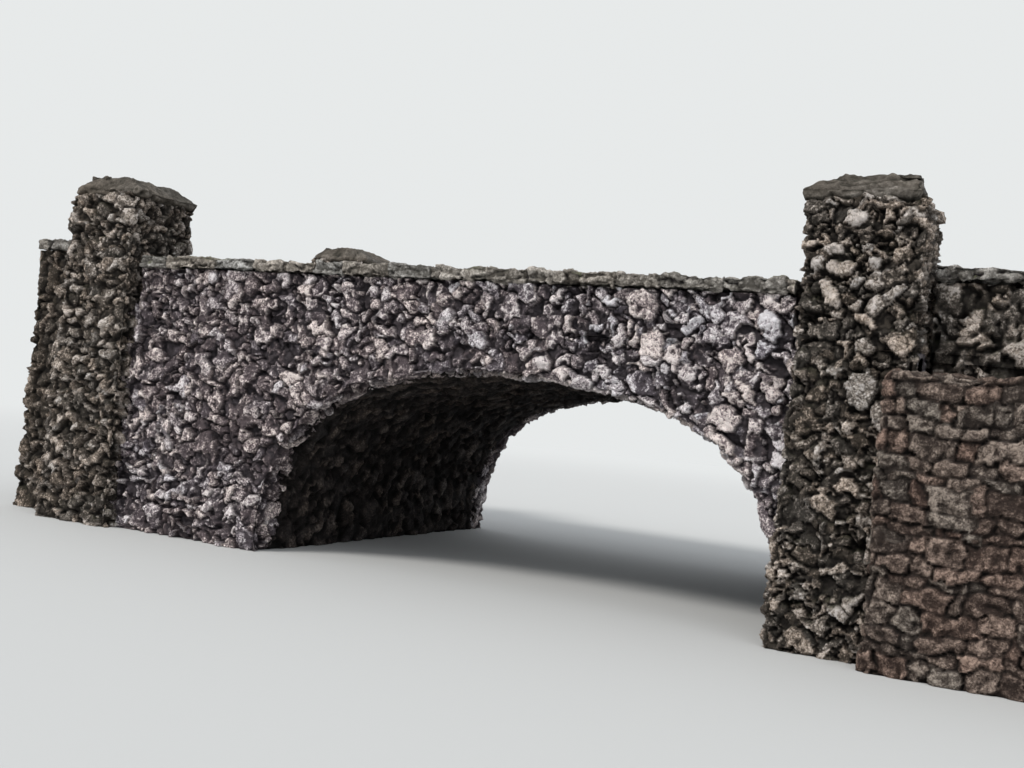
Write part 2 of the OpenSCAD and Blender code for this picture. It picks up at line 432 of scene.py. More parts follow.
def rubble(p, n, seed, cell=0.235, big=0.40, deep=1.0, stretch=(1, 1, 1), bulge=0.0, parted=0.8, few=0.50,
           edge=0.022, marks=()):
    """Contorted stones of three sizes. Marks are single stones of the front, set into them."""
    w = stirred(p, (0.064, 0.27, seed + 20), (0.050, 0.115, seed + 23), (0.030, 0.052, seed + 26))
    who, far, seam, way, over = three_sizes(w, n, seed, cell, big, stretch)
    r = TAB[who]
    q = w + r[:, PLACE] * 3.1
    light = ease(few, few + 0.18, r[:, TONE])
    gap = np.clip(1 - seam / (0.07 + 0.13 * r[:, GAP]), 0, 1)
    rift = ease(-0.22, 0.40, noise(p, 0.23, seed + 12))
    crag = 0.036 * fold(q, 0.17, seed + 5) * fold(q, 0.10, seed + 6) + 0.024 * ridges(q, 0.066, seed + 7)
    crag = crag + 0.014 * ridges(q, 0.038, seed + 9)
    h = -0.038 + 0.078 * (r[:, LIFT] - 0.5) + 0.036 * parted * (light - 0.5) + np.where(over, 0.014, 0)
    h = h + ((r[:, SLOPE] - 0.5) * way).sum(1) * 0.70 - edge * far * far + crag
    h = h - 0.3 * edge * gap - 0.100 * gap * gap * rift + 0.030 * noise(w, 0.55, seed + 80)
    tone = (0.5 + 0.6 * (r[:, TONE] - 0.5) + 0.4 * (light - 0.45)) * np.where(over, 0.78, 1)
    hue, grain = r[:, HUE], r[:, HUE]
    ragged = p + 0.45 * (w - p) + 0.020 * noise3(p, 0.06, seed + 70) + 0.008 * noise3(p, 0.025, seed + 73)
    front = n[:, 1] < -0.5
    for m in marks:
        c, s = math.cos(math.radians(m.turn)), math.sin(math.radians(m.turn))
        dx, dz = ragged[:, 0] - m.x, ragged[:, 2] - m.z
        e = np.hypot((dx * c + dz * s) / m.half_x, (dz * c - dx * s) / m.half_z)
        inside, around = front & (e < 1), front & (e >= 1) & (e < 1.35)
        h = np.where(inside, -0.020 + m.lift * (1 - e * e) + 1.15 * crag, h)
        h = np.where(around, np.minimum(h, -0.030 - 0.03 * rift), h)
        tone = np.where(inside, m.tone, tone)
        hue, grain = np.where(inside, m.hue, hue), np.where(inside, m.hue, grain)
    return deep * held_in(h) + bulge, tone, hue, grain


# Single stones that stand out at the front
WALL_STONES = [
    Mark(0.45, 2.73, 0.085, 0.085, 20, 1.30, 0.6, 0.030), Mark(3.04, 3.32, 0.13, 0.17, 20, 1.05, 0.1, 0.020),
    Mark(1.61, 3.43, 0.19, 0.17, -35, 0.74, 0.9, 0.015), Mark(2.65, 2.92, 0.13, 0.13, 0, 0.55, 1.0, 0.045),
    Mark(2.86, 2.60, 0.17, 0.055, -52, 1.15, 1.6, 0.025), Mark(2.66, 2.29, 0.19, 0.13, -10, 0.80, 0.9, 0.050),
    Mark(2.62, 2.07, 0.20, 0.08, -38, 0.60, 1.5, 0.040), Mark(2.23, 2.36, 0.07, 0.045, 0, 1.35, 0.4, 0.025)]
PIER_STONES = [
    Mark(3.86, 4.43, 0.10, 0.085, 10, 1.45, 0.3, 0.040), Mark(4.11, 4.555, 0.19, 0.028, 0, 0.75, 1.8, 0.030),
    Mark(4.06, 2.70, 0.15, 0.20, 15, 0.95, -0.6, 0.035), Mark(4.25, 2.42, 0.055, 0.16, 20, 1.0, 0.2, 0.030),
    Mark(4.07, 3.97, 0.065, 0.085, -20, 1.5, 0.2, 0.030), Mark(3.66, 4.10, 0.10, 0.065, 5, 1.2, 0.4, 0.030),
    Mark(3.53, 3.93, 0.07, 0.085, 0, 1.15, 0.1, 0.025), Mark(3.76, 3.92, 0.14, 0.075, 5, 1.1, 0.6, 0.030),
    Mark(3.68, 3.63, 0.07, 0.16, 30, 1.3, 0.7, 0.030), Mark(4.28, 3.65, 0.12, 0.06, 40, 1.1, 0.2, 0.030),
    Mark(4.05, 3.38, 0.14, 0.05, -15, 1.2, 1.3, 0.030), Mark(4.42, 3.15, 0.13, 0.10, 0, 1.1, 1.4, 0.035)]


def wall_relief(p, n, seed):
    """Rubble, browner and darker towards the left, as painted shade."""
    h, tone, hue, grain = rubble(p, n, seed, marks=WALL_STONES)
    # Painted shade: tone lowered and hue warmed towards the left.
    left = ease(1.2, -2.2, p[:, 0]) * (0.6 + 0.4 * noise(p, 0.8, seed + 90))
    return h, tone - 0.62 * left, hue + 0.5 * left, grain


def pier_relief(p, n, seed):
    """Smaller, rounder rubble. Below the cap the stones reach unevenly up over its edge."""
    h, tone, hue, grain = rubble(p, n, seed, cell=0.19, big=0.30, stretch=(1.15, 1.15, 0.85), bulge=0.010,
                                 parted=0.9, few=0.56, edge=0.040, marks=PIER_STONES)
    rim = ease(0.015, 0.06, p[:, 2] - EAVE + 0.07 * noise(p, 0.15, seed + 60))
    return h + 0.012 * ease(-0.25, 0, p[:, 2] - EAVE) - 0.09 * rim, tone, hue, grain


def barrel_relief(p, n, seed):
    return rubble(p, n, seed, deep=0.8)


def core_relief(p, n, seed):
    h, tone, hue, grain = rubble(p, n, seed)
    return 0.35 * h - 0.01, tone, hue, grain


def stretches(s, size, spread, row):
    """Which uneven stretch s falls in, and how far it is from the stretch's nearer end."""
    def start(k):
        return (k + spread * (TAB[row_of(np.stack([k, row, row * 0], 1), 9), 1] - 0.5)) * size

    k = np.floor(s / size).astype(np.int64)
    k = np.where(s < start(k), k - 1, np.where(s >= start(k + 1), k + 1, k))
    return k, np.minimum(s - start(k), start(k + 1) - s)


def courses_relief(p, n, seed):
    """Flat-laid, rounded stones in wavy courses."""
    tall, length, shift = 0.165, 0.29, 3.7
    w = stirred(p, (0.085, 0.50, seed), (0.060, 0.17, seed + 3), (0.026, 0.065, seed + 6))
    row, ez = stretches(w[:, 2], tall, 0.65, np.zeros(len(p), np.int64))
    ix, ex = stretches(w[:, 0] + shift * TAB[row & 1023, 2], length, 0.75, row)
    iy, ey = stretches(w[:, 1] + shift * TAB[row & 1023, 3], length, 0.75, row + 5000)
    r = TAB[row_of(np.stack([ix, iy, row], 1), seed)]
    bend = 0.060 + 0.045 * r[:, GAP]
    along = ease(0.9, 0.5, np.abs(n))
    corner = [np.clip(bend - e, 0, None) * along[:, k] for k, e in enumerate((ex, ey, ez))]
    out = np.clip((np.sqrt(corner[0] ** 2 + corner[1] ** 2 + corner[2] ** 2) - bend) / 0.026 + 1, 0, 1)
    q = w + r[:, PLACE] * 3.1
    h = -0.010 + 0.055 * (r[:, LIFT] - 0.5) - 0.042 * (1 - np.sqrt(1 - out * 0.98))
    h = h + 0.025 * noise(p, 0.4, seed + 30)
    h = h + 0.040 * ridges(q, 0.16, seed + 5) + 0.028 * ridges(q, 0.08, seed + 7)
    h = h + 0.014 * ridges(q, 0.04, seed + 9)
    return held_in(h), r[:, TONE], r[:, HUE], r[:, HUE]


def slabs_relief(joints, shift):
    """Rough slabs laid end to end along x, close together, with bulging lips."""
    lip, top, hue = 2, 3, 7

    def relief(p, n, seed):
        x = p[:, 0] + 0.07 * noise(p, 0.22, seed) + 0.03 * noise(p, 0.07, seed + 1)
        i = np.searchsorted(joints, x)
        last = len(joints) - 1
        end = np.minimum(np.abs(x - joints[np.clip(i - 1, 0, last)]), np.abs(joints[np.clip(i, 0, last)] - x))
        r = TAB[row_of(np.stack([i, i * 0 + shift, i * 0], 1), seed)]
        gap = np.clip(1 - end / 0.025, 0, 1) ** 2 * ease(-0.5, 0.4, noise(p, 0.3, seed + 15))
        side = np.abs(n[:, 1])
        w = stirred(p + r[:, PLACE] * 5, (0.05, 0.16, seed + 20), (0.02, 0.06, seed + 23))
        who, far, seam, way = packed(w, n, 0.20, seed + 4, (1.6, 1.2, 0.7))
        t = TAB[who]
        h = side * (0.030 * (r[:, lip] - 0.5) + 0.030 * noise(p, 0.3, seed + 8))
        h += (1 - side) * 0.020 * (r[:, top] - 0.6)
        h += 0.040 * (t[:, LIFT] - 0.55) + ((t[:, SLOPE] - 0.5) * way).sum(1) * 0.35 - 0.022 * far * far
        h += 0.022 * ridges(w, 0.13, seed + 5) + 0.016 * ridges(w, 0.065, seed + 7)
        h += 0.007 * noise(w, 0.04, seed + 9)
        h += -0.016 * np.clip(1 - seam / 0.12, 0, 1) ** 2 - 0.030 * gap - 0.006
        return h, (r[:, TONE] * 0.4 + 0.6 * t[:, TONE]) * (1 - 0.5 * gap), r[:, hue], r[:, hue]

    return relief


def mortar_relief(p, n, seed):
    """Rough mortar, sunk back to the stones at its edge."""
    w = stirred(p, (0.03, 0.12, seed + 20))
    foot = ease(0.07, 0, p[:, 2] - EAVE + 0.06 * noise(p, 0.12, seed + 10))
    crack = np.abs(noise(p, 0.42, seed + 5))
    h = 0.030 * noise(w, 0.34, seed) + 0.024 * noise(w, 0.13, seed + 1) + 0.015 * ridges(w, 0.075, seed + 3)
    h += 0.010 * noise(w, 0.04, seed + 2) - 0.028 - 0.055 * foot
    h -= 0.018 * np.clip(1 - crack / 0.03, 0, 1)
    tone = 0.5 + 0.3 * noise(p, 0.35, seed + 6) + 0.25 * noise(p, 0.1, seed + 7)
    tone -= 0.6 * np.clip(1 - crack / 0.04, 0, 1)
    return h, np.clip(tone, 0, 1), 0.5 + 0.5 * noise(p, 0.5, seed + 8), 0


def earth_relief(p, n, seed):
    h = 0.012 * noise(p, 0.5, seed) + 0.008 * noise(p, 0.13, seed + 1) - 0.008
    return h, 0.5 + 0.4 * noise(p, 0.3, seed + 2), 0.5 + 0.5 * noise(p, 0.9, seed + 3), 0


# Materials
Moss = namedtuple("Moss", "color amount up soft")


class Graph:
    """Shader nodes of one tree."""

    def __init__(self, tree):
        self.tree = tree

    def node(self, kind, **settings):
        n = self.tree.nodes.new("ShaderNode" + kind)
        for name, value in settings.items():
            setattr(n, name, value)
        return n

    def feed(self, socket, value):
        """Links a socket to it, or sets it where it is a number or a colour."""
        if isinstance(value, (int, float)):
            socket.default_value = value
        elif isinstance(value, tuple):
            socket.default_value = (*value, 1)
        else:
            self.tree.links.new(value, socket)

    def calc(self, operation, a, b, clamp=False):
        n = self.node("Math", operation=operation, use_clamp=clamp)
        self.feed(n.inputs[0], a)
        self.feed(n.inputs[1], b)
        return n.outputs[0]

    def ranged(self, a, b, value, **settings):
        """0 at a, 1 at b."""
        n = self.node("MapRange", **settings)
        self.feed(n.inputs["From Min"], a)
        self.feed(n.inputs["From Max"], b)
        self.feed(n.inputs["Value"], value)
        return n.outputs[0]

    def mixed(self, factor, a, b):
        n = self.node("Mix", data_type="RGBA")
        self.feed(n.inputs["Factor"], factor)
        self.feed(n.inputs["A"], a)
        self.feed(n.inputs["B"], b)
        return n.outputs["Result"]

    def noise(self, place, scale, detail, roughness, distortion, grain=None):
        """Noise, in another part of its fourth dimension for each grain."""
        n = self.node("TexNoise", noise_dimensions="4D")
        self.feed(n.inputs["Vector"], place)
        self.feed(n.inputs["Scale"], scale)
        self.feed(n.inputs["Detail"], detail)
        self.feed(n.inputs["Roughness"], roughness)
        self.feed(n.inputs["Distortion"], distortion)
        if grain is not None:
            self.feed(n.inputs["W"], self.calc("MULTIPLY", grain, 40.0))
        return n.outputs["Fac"], n.outputs["Color"]

    def ramp(self, value, stops):
        n = self.node("ValToRGB")
        elements = n.color_ramp.elements
        while len(elements) < len(stops):
            elements.new(0.5)
        for element, (position, color) in zip(elements, stops):
            element.position = position
            element.color = (*color, 1)
        self.feed(n.inputs[0], value)
        return n.outputs[0]

    def pits(self, place, shake, scale):
        """Rims between small holes, 0 to 1. Shake moves the holes about."""
        moved = self.node("VectorMath", operation="MULTIPLY_ADD")
        self.feed(moved.inputs[0], shake)
        moved.inputs[1].default_value = (0.12, 0.12, 0.12)
        self.feed(moved.inputs[2], place)
        holes = self.node("TexVoronoi")
        self.feed(holes.inputs["Scale"], scale)
        self.feed(holes.inputs["Vector"], moved.outputs[0])
        return self.ranged(0.28, 0.62, holes.outputs["Distance"])


MATERIALS = {}


def stone_material(name, ramp, crevice_shade, stone=0.55, blotch=1.5, patch=0.0, fleck=0.0, grain=1.3, pits=0.35,
                   highlight_and_shade=0.6, stain=0.5, base=0.40, bump=1.0, moss=None, warm=(1.07, 0.99, 0.945),
                   cool=(0.97, 0.99, 1.04)):
    """Porous stone. The ramp is read by the stone's tone, blotches, grain, pits and how raised or hollow it
    is, which gives painted highlight and painted shade. The small pits are darkened as painted shade, and
    hollow and deep places take the crevice colour, also painted shade.
    """
    material = bpy.data.materials.new(name)
    material.use_nodes = True
    g = Graph(material.node_tree)
    g.tree.nodes.clear()
    marks = g.node("Attribute", attribute_name="stone")
    parts = g.node("SeparateColor")
    g.feed(parts.inputs[0], marks.outputs["Color"])
    tone, hue, hollow = parts.outputs
    own = marks.outputs["Alpha"]
    geometry = g.node("NewGeometry")
    place = geometry.outputs["Position"]

    coarse, coarse_color = g.noise(place, 8.5, 9, 0.80, 0.6, own)
    fine, _ = g.noise(place, 30.0, 5, 0.62, 1.2, own)
    wide, _ = g.noise(place, 1.3, 3, 0.5, 0.5)
    pit = g.pits(place, coarse_color, 30.0)
    level = base
    # The hollow term lightens raised places and darkens hollow ones: painted highlight and painted shade.
    for value, weight in ((tone, stone), (coarse, blotch), (g.ranged(0.46, 0.55, coarse), patch),
                          (g.ranged(0.42, 0.56, fine), fleck), (fine, grain),
                          (g.ranged(0.3, 0.75, hollow), highlight_and_shade), (wide, stain)):
        level = g.calc("ADD", g.calc("MULTIPLY", g.calc("SUBTRACT", value, 0.5), weight), level)
    # Painted shade: darker where the pits lie, which the bump lowers.
    level = g.calc("SUBTRACT", level, g.calc("MULTIPLY", pit, pits), clamp=True)
    tinted = g.node("VectorMath", operation="MULTIPLY")
    g.feed(tinted.inputs[0], g.ramp(level, ramp))
    g.feed(tinted.inputs[1], g.mixed(hue, cool, warm))
    # Painted shade: the crevice colour where a place is hollow or lies deep.
    color = g.mixed(g.ranged(0.02, 0.34, hollow), crevice_shade, tinted.outputs[0])
    if moss is not None:
        spread, _ = g.noise(place, 2.6, 6, 0.6, 0.3)
        normal = g.node("SeparateXYZ")
        g.feed(normal.inputs[0], geometry.outputs["Normal"])
        grown = g.calc("ADD", g.calc("MULTIPLY", normal.outputs[2], moss.up), spread)
        grown = g.calc("ADD", grown, g.calc("MULTIPLY", g.calc("SUBTRACT", fine, 0.5), 0.5))
        color = g.mixed(g.ranged(1.0 - moss.amount, 1.0 - moss.amount + moss.soft, grown), color, moss.color)

    raised = g.node("Bump")
    g.feed(raised.inputs["Strength"], bump)
    g.feed(raised.inputs["Distance"], 0.035)
    height = g.calc("ADD", fine, g.calc("MULTIPLY", coarse, 1.2))
    g.feed(raised.inputs["Height"], g.calc("SUBTRACT", height, g.calc("MULTIPLY", pit, 0.35)))
    bsdf = g.node("BsdfPrincipled")
    g.feed(bsdf.inputs["Base Color"], color)
    g.feed(bsdf.inputs["Roughness"], 0.92)
    g.feed(bsdf.inputs["Specular IOR Level"], 0.2)
    g.feed(bsdf.inputs["Normal"], raised.outputs[0])
    g.feed(g.node("OutputMaterial").inputs[0], bsdf.outputs[0])
    MATERIALS[name] = material


WALL_RAMP = [(0.0, (0.098, 0.082, 0.090)), (0.28, (0.200, 0.175, 0.184)), (0.50, (0.345, 0.306, 0.314)),
             (0.74, (0.610, 0.545, 0.540)), (1.0, (0.960, 0.910, 0.890))]
PIER_RAMP = [(0.0, (0.052, 0.045, 0.036)), (0.30, (0.130, 0.110, 0.090)), (0.52, (0.260, 0.222, 0.184)),
             (0.70, (0.450, 0.390, 0.325)), (1.0, (0.780, 0.710, 0.640))]
# The barrel's rubble is the walls' stone in a much darker ramp: painted shade under the arch.
BARREL_SHADE_RAMP = [(0.0, (0.016, 0.013, 0.012)), (0.5, (0.049, 0.041, 0.038)), (0.8, (0.109, 0.090, 0.077)),
               (1.0, (0.217, 0.186, 0.158))]
COPING_RAMP = [(0.0, (0.109, 0.102, 0.087)), (0.35, (0.239, 0.226, 0.200)), (0.65, (0.450, 0.428, 0.384)),
               (1.0, (0.841, 0.805, 0.739))]
LOW_RAMP = [(0.0, (0.040, 0.030, 0.026)), (0.35, (0.100, 0.079, 0.068)), (0.65, (0.215, 0.176, 0.152)),
            (1.0, (0.420, 0.352, 0.306))]
CAP_RAMP = [(0.0, (0.040, 0.036, 0.028)), (0.4, (0.092, 0.081, 0.066)), (0.7, (0.150, 0.134, 0.112)),
            (1.0, (0.260, 0.236, 0.202))]
ROAD_RAMP = [(0.0, (0.102, 0.086, 0.071)), (0.5, (0.223, 0.197, 0.167)), (1.0, (0.386, 0.355, 0.315))]

stone_material("wall_rubble", WALL_RAMP, (0.055, 0.046, 0.050), base=0.64, blotch=1.5, patch=0.56, fleck=0.40,
               grain=1.5, stone=0.58, highlight_and_shade=0.6, stain=0.8)
stone_material("pier_rubble", PIER_RAMP, (0.022, 0.018, 0.015), base=0.47, blotch=1.3, patch=0.26, fleck=0.16,
               grain=1.4, stone=0.52, highlight_and_shade=0.5, moss=Moss((0.075, 0.075, 0.042), 0.36, 0.22, 0.4))
stone_material("barrel_rubble", BARREL_SHADE_RAMP, (0.008, 0.007, 0.006), base=0.46)
stone_material("coping_stone", COPING_RAMP, (0.038, 0.031, 0.034), base=0.46, blotch=1.7, grain=1.4,
               pits=0.25, moss=Moss((0.135, 0.145, 0.072), 0.31, 0.22, 0.20))
stone_material("low_wall_stone", LOW_RAMP, (0.022, 0.017, 0.014), stone=0.45, pits=0.25, base=0.47,
               blotch=1.4, patch=0.22, fleck=0.14, grain=1.4, warm=(1.16, 0.95, 0.86), cool=(0.96, 1.0, 0.97))
stone_material("cap_mortar", CAP_RAMP, (0.02, 0.017, 0.014), stone=0.6, blotch=1.5, grain=1.1, pits=0.15,
               bump=0.7, base=0.5, moss=Moss((0.040, 0.040, 0.024), 0.30, 0.15, 0.4))
stone_material("cap_stone", CAP_RAMP, (0.03, 0.026, 0.02), bump=0.5, pits=0.15, base=0.42)
stone_material("core_fill", LOW_RAMP, (0.018, 0.014, 0.012))
stone_material("road_stone", ROAD_RAMP, (0.05, 0.042, 0.034), bump=0.4, pits=0.1,
               moss=Moss((0.10, 0.10, 0.05), 0.38, 0.1, 0.2))


# The pieces
CURL = 14                                        # rounds of smoothing that a place's hollow is read against


def mesh_of(name, v, q, t, shown, stone):
    """Mesh of quads and triangles, with the stones' numbers as a colour attribute."""
    mesh = bpy.data.meshes.new(name)
    mesh.vertices.add(len(v))
    mesh.vertices.foreach_set("co", v.astype(np.float32).ravel())
    corners = np.concatenate([q.ravel(), t.ravel()]).astype(np.int32)
    mesh.loops.add(len(corners))
    mesh.loops.foreach_set("vertex_index", corners)
    starts = np.concatenate([np.arange(len(q)) * 4, len(q) * 4 + np.arange(len(t)) * 3]).astype(np.int32)
    mesh.polygons.add(len(starts))
    mesh.polygons.foreach_set("loop_start", starts)
    mesh.polygons.foreach_set("use_smooth", np.concatenate([shown, np.zeros(len(t), bool)]))
    mesh.update(calc_edges=True)
    colors = mesh.color_attributes.new("stone", "FLOAT_COLOR", "POINT")
    colors.data.foreach_set("color", stone.astype(np.float32).ravel())
    return mesh


def piece(node, shell, relief, slot, seed, own=None, deep_shade=0.0):
    """One node's stones. Where own says no, the surface runs on just under the neighbour's, so no seam shows.

    The last argument sets how much what lies deep is darkened, besides what is hollow: painted shade."""
    v, q, t, shown = shell.arrays()
    n, on = normals(v, q[shown])
    under = np.zeros(len(v), bool) if own is None else ~own(v)
    h = np.zeros(len(v))
    stone = np.zeros((len(v), 4))
    h[on], stone[on, 0], stone[on, 1], stone[on, 3] = relief(v[on], n[on], seed)
    v = v + n * (h - SUNK * under)[:, None]
    v[:, 2] = np.maximum(v[:, 2], 0.0)
    hollow = h - smooth(h, q[shown], CURL)
    # Third channel: painted shade in hollows and, weighted by the last argument, in deep places; painted
    # highlight on raised places.
    stone[:, 2] = np.clip(0.5 + hollow / 0.07 + deep_shade * (h + 0.035) / 0.10, 0, 1)
    mesh = mesh_of(node + "_stone", v, q, t, shown, stone)
    mesh.materials.append(MATERIALS[slot])
    o = bpy.data.objects.new(mesh.name, mesh)
    bpy.context.scene.collection.objects.link(o)
    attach(o, "root")
    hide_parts(node)


# Walls and barrel have one seed, so that their stones run on round the arch's edge
SEED = {"wall": 3, "barrel": 3, "core": 7, "pier": 40, "cap": 60, "cap_stone": 70, "low_wall": 80,
        "coping": 90, "road": 100}


def over_ring(p):
    return arch_distance(p[:, 0], p[:, 2], RING)


def below_deck(p):
    return p[:, 2] < DECK + TOUCH


def above_deck(p):
    return p[:, 2] > DECK - TOUCH


def haunch_wall(side, end):
    """Wall over the arch's haunch, and its far end, which shows between the pier and the wing wall."""
    name, y, step = f"{side}_wall_{end}", OUT[side], STEP[side]
    a, b = low(name), high(name)
    stop, strip = 0.08, 0.10
    if end == "left":
        x0, x1, xs = a[0] + stop, b[0] + RUN_ON * step, [a[0], a[0] + strip]
    else:
        x0, x1, xs = a[0] - RUN_ON * step, b[0] - stop, [b[0] - strip, b[0]]

    def own(p):
        mine = p[:, 0] < b[0] + TOUCH if end == "left" else p[:, 0] > a[0] - TOUCH
        return mine & below_deck(p) & (over_ring(p) > -TOUCH)

    shell = Shell()
    wall(shell, x0, x1, b[2] + RUN_ON * step, y * FACE, y * INNER, step)
    ys = sorted((y * (FACE + 0.04), y * (high(f"wing_back_{end}")[1] - stop)))
    brick(shell, xs, cuts(*ys, MID), cuts(0, DECK, MID), {FAR[end]}, radius=0.03)
    piece(name, shell, wall_relief, "wall_rubble", SEED["wall"], own, deep_shade=0.9)


def face_ring(side):
    step = STEP[side]
    more = RUN_ON * step
    ys = cuts(-FACE, -INNER + more, step) if side == "front" else cuts(INNER - more, FACE, step)
    shell = Shell()
    brick(shell, cuts(0, UNDERSIDE, step), cuts(0, RING + more, step), ys,
          {"y-", "z-" if side == "front" else "z+"}, radius=0.08, place=along_arch, bent=True)
    piece(f"arch_ring_{side}", shell, wall_relief, "wall_rubble", SEED["wall"],
          lambda p: (np.abs(p[:, 1]) > INNER - TOUCH) & (over_ring(p) < TOUCH), deep_shade=0.9)


def parapet(side):
    name, step = f"parapet_{side}", STEP[side]
    a, b = low(name), high(name)
    shell = Shell()
    brick(shell, cuts(a[0], b[0], step), [a[1], b[1]], cuts(a[2] - RUN_ON * step, b[2], step), {"y-", "y+"})
    piece(name, shell, wall_relief, "wall_rubble", SEED["wall"], above_deck, deep_shade=0.9)


def wing(side, end):
    """Wing wall and its parapet, in the darker pier rubble as painted shade."""
    more = RUN_ON * MID
    name = f"wing_{side}_{end}"
    a, b = low(name), high(name)
    shell = Shell()
    brick(shell, cuts(a[0], b[0], MID), cuts(a[1], b[1], MID), cuts(a[2], b[2] + more, MID),
          {OUTER[side], FAR[end]})
    # The wing's wall stones take the darker pier_rubble material: painted shade.
    piece(name, shell, wall_relief, "pier_rubble", SEED["wall"], below_deck, deep_shade=0.6)
    name = f"wing_parapet_{side}_{end}"
    a, b = low(name), high(name)
    shell = Shell()
    brick(shell, cuts(a[0], b[0], MID), cuts(a[1], b[1], MID), cuts(a[2] - more, b[2], MID),
          {"y-", "y+", FAR[end]})
    piece(name, shell, wall_relief, "pier_rubble", SEED["wall"], above_deck, deep_shade=0.6)


def pier(side, end):
    """A facing below the road and a full shaft above it, both with the batter."""
    name, step = f"pier_{side}_{end}", PIER_STEP[f"{side}_{end}"]
    a, b = low(name), high(name)
    cap_a, cap_b = low(f"cap_{side}_{end}"), high(f"cap_{side}_{end}")
    top = cap_b - cap_a
    cx, cy = (a[0] + b[0]) / 2, (cap_b[1] + cap_a[1]) / 2
    wide, eave = b[0] - a[0], b[2]
    thick = 2 * abs((a if side == "front" else b)[1] - cy)

    def batter(p):
        k = np.clip(p[:, 2] / eave, 0, 1)
        x = cx + (p[:, 0] - cx) * (1 + (top[0] / wide - 1) * k)
        y = cy + (p[:, 1] - cy) * (1 + (top[1] / thick - 1) * k)
        return np.stack([x, y, p[:, 2]], 1)

    over, behind = 0.08, 0.06
    xs = cuts(cx - wide / 2, cx + wide / 2, step)
    ys = cuts(cy - thick / 2, cy + thick / 2, step)
    shell = Shell()
    brick(shell, xs, ys, cuts(DECK, eave + over, step), AROUND, radius=0.05, place=batter)
    if side == "front":
        ys = cuts(cy - thick / 2, -FACE + behind, step)
    else:
        ys = cuts(FACE - behind, cy + thick / 2, step)
    brick(shell, xs, ys, cuts(0, DECK, step), {"x-", "x+", OUTER[side]}, radius=0.09, place=batter)
    piece(name, shell, pier_relief, "pier_rubble", SEED["pier"], deep_shade=0.5)


def boxed(name, step, shows, **settings):
    """Shell of a node's whole box."""
    a, b = low(name), high(name)
    shell = Shell()
    brick(shell, cuts(a[0], b[0], step), cuts(a[1], b[1], step), cuts(a[2], b[2], step), shows, **settings)
    return shell


def cap(side, end):
    """Mortar cap with an upright edge and hips, and the flat stone let into it."""
    name, step = f"cap_{side}_{end}", STEP[side]
    a, b = low(name), high(name)
    left, right = (ARCH_IN, TOP_IN - SHORT) if end == "right" else (TOP_IN - SHORT, ARCH_IN)

    def hips(p):
        k = np.clip((p[:, 2] - a[2] - LIP) / (b[2] - a[2] - LIP), 0, 1)
        u = (p[:, 0] - a[0]) / (b[0] - a[0])
        v = (p[:, 1] - a[1]) / (b[1] - a[1])
        x = p[:, 0] + k * (left * (1 - u) - right * u)
        return np.stack([x, p[:, 1] + k * TOP_IN * (1 - 2 * v), p[:, 2]], 1)

    shell = boxed(name, step, AROUND | {"z+"}, radius=0.03, place=hips)
    piece(name, shell, mortar_relief, "cap_mortar", SEED["cap"])
    name = f"cap_stone_{side}_{end}"
    piece(name, boxed(name, step, set(FACES), radius=0.03), mortar_relief, "cap_stone", SEED["cap_stone"])


def low_wall(side):
    name, step = f"low_wall_{side}", LOW_STEP[side]
    a, b = low(name), high(name)
    shell = Shell()
    brick(shell, cuts(a[0], b[0], step), cuts(a[1], b[1], MID), cuts(a[2], b[2], step),
          {"x-", "x+", OUTER[side], "z+"}, radius=0.09)
    piece(name, shell, courses_relief, "low_wall_stone", SEED["low_wall"])


def copings(side):
    """Slabs along one side. Their joints run on from node to node."""
    seed = {"front": 5, "back": 6}[side]
    lengths = 0.38 + 0.5 * np.random.RandomState(seed).rand(60)
    relief = slabs_relief(np.cumsum(np.concatenate([[-END - 1], lengths])), seed)
    arch = [(f"coping_{side}_{k}", STEP[side], set()) for k in ("left", "mid", "right")]
    wings = [(f"wing_coping_{side}_{k}", MID, {FAR[k]}) for k in ("left", "right")]
    for name, step, ends in arch + wings:
        a, b = low(name), high(name)
        shell = Shell()
        brick(shell, cuts(a[0], b[0], step), cuts(a[1], b[1], MID), cuts(a[2], b[2], step),
              {"y-", "y+", "z+", "z-"} | ends, radius=0.035)
        piece(name, shell, relief, "coping_stone", SEED["coping"])


def barrel():
    more = RUN_ON * WIDE
    shell = Shell()
    brick(shell, cuts(SPRING - more, UNDERSIDE - SPRING + more, WIDE), [0, RING],
          cuts(-INNER - more, INNER + more, WIDE), {"y-"}, place=along_arch, bent=True)
    piece("arch_barrel", shell, barrel_relief, "barrel_rubble", SEED["barrel"],
          lambda p: (np.abs(p[:, 1]) < INNER + TOUCH) & (p[:, 2] > SPRING - TOUCH))


def abutment(end):
    """The face under the barrel's foot, and the rest of the node as a plain block."""
    name = f"abutment_{end}"
    a, b = low(name), high(name)
    more = RUN_ON * WIDE
    shell = Shell()
    brick(shell, [a[0], b[0]], cuts(a[1] - more, b[1] + more, WIDE), cuts(0, SPRING + more, WIDE),
          {"x+" if end == "left" else "x-"})
    xs = [a[0], b[0] - RING] if end == "left" else [a[0] + RING, b[0]]
    brick(shell, xs, [a[1], b[1]], [SPRING, b[2]], set())
    piece(name, shell, barrel_relief, "barrel_rubble", SEED["barrel"],
          lambda p: (np.abs(p[:, 1]) < INNER + TOUCH) & (p[:, 2] < SPRING + TOUCH))


def core(end):
    """The fill, which shows at the bridge's ends."""
    name = f"core_{end}"
    a, b = low(name), high(name)
    side = high(f"wing_front_{end}")[1]
    xs = [a[0], low(f"abutment_{end}")[0]] if end == "left" else [high(f"abutment_{end}")[0], b[0]]
    shell = Shell()
    brick(shell, xs, cuts(side, -side, WIDE), cuts(0, b[2], WIDE), {FAR[end]})
    piece(name, shell, core_relief, "core_fill", SEED["core"])


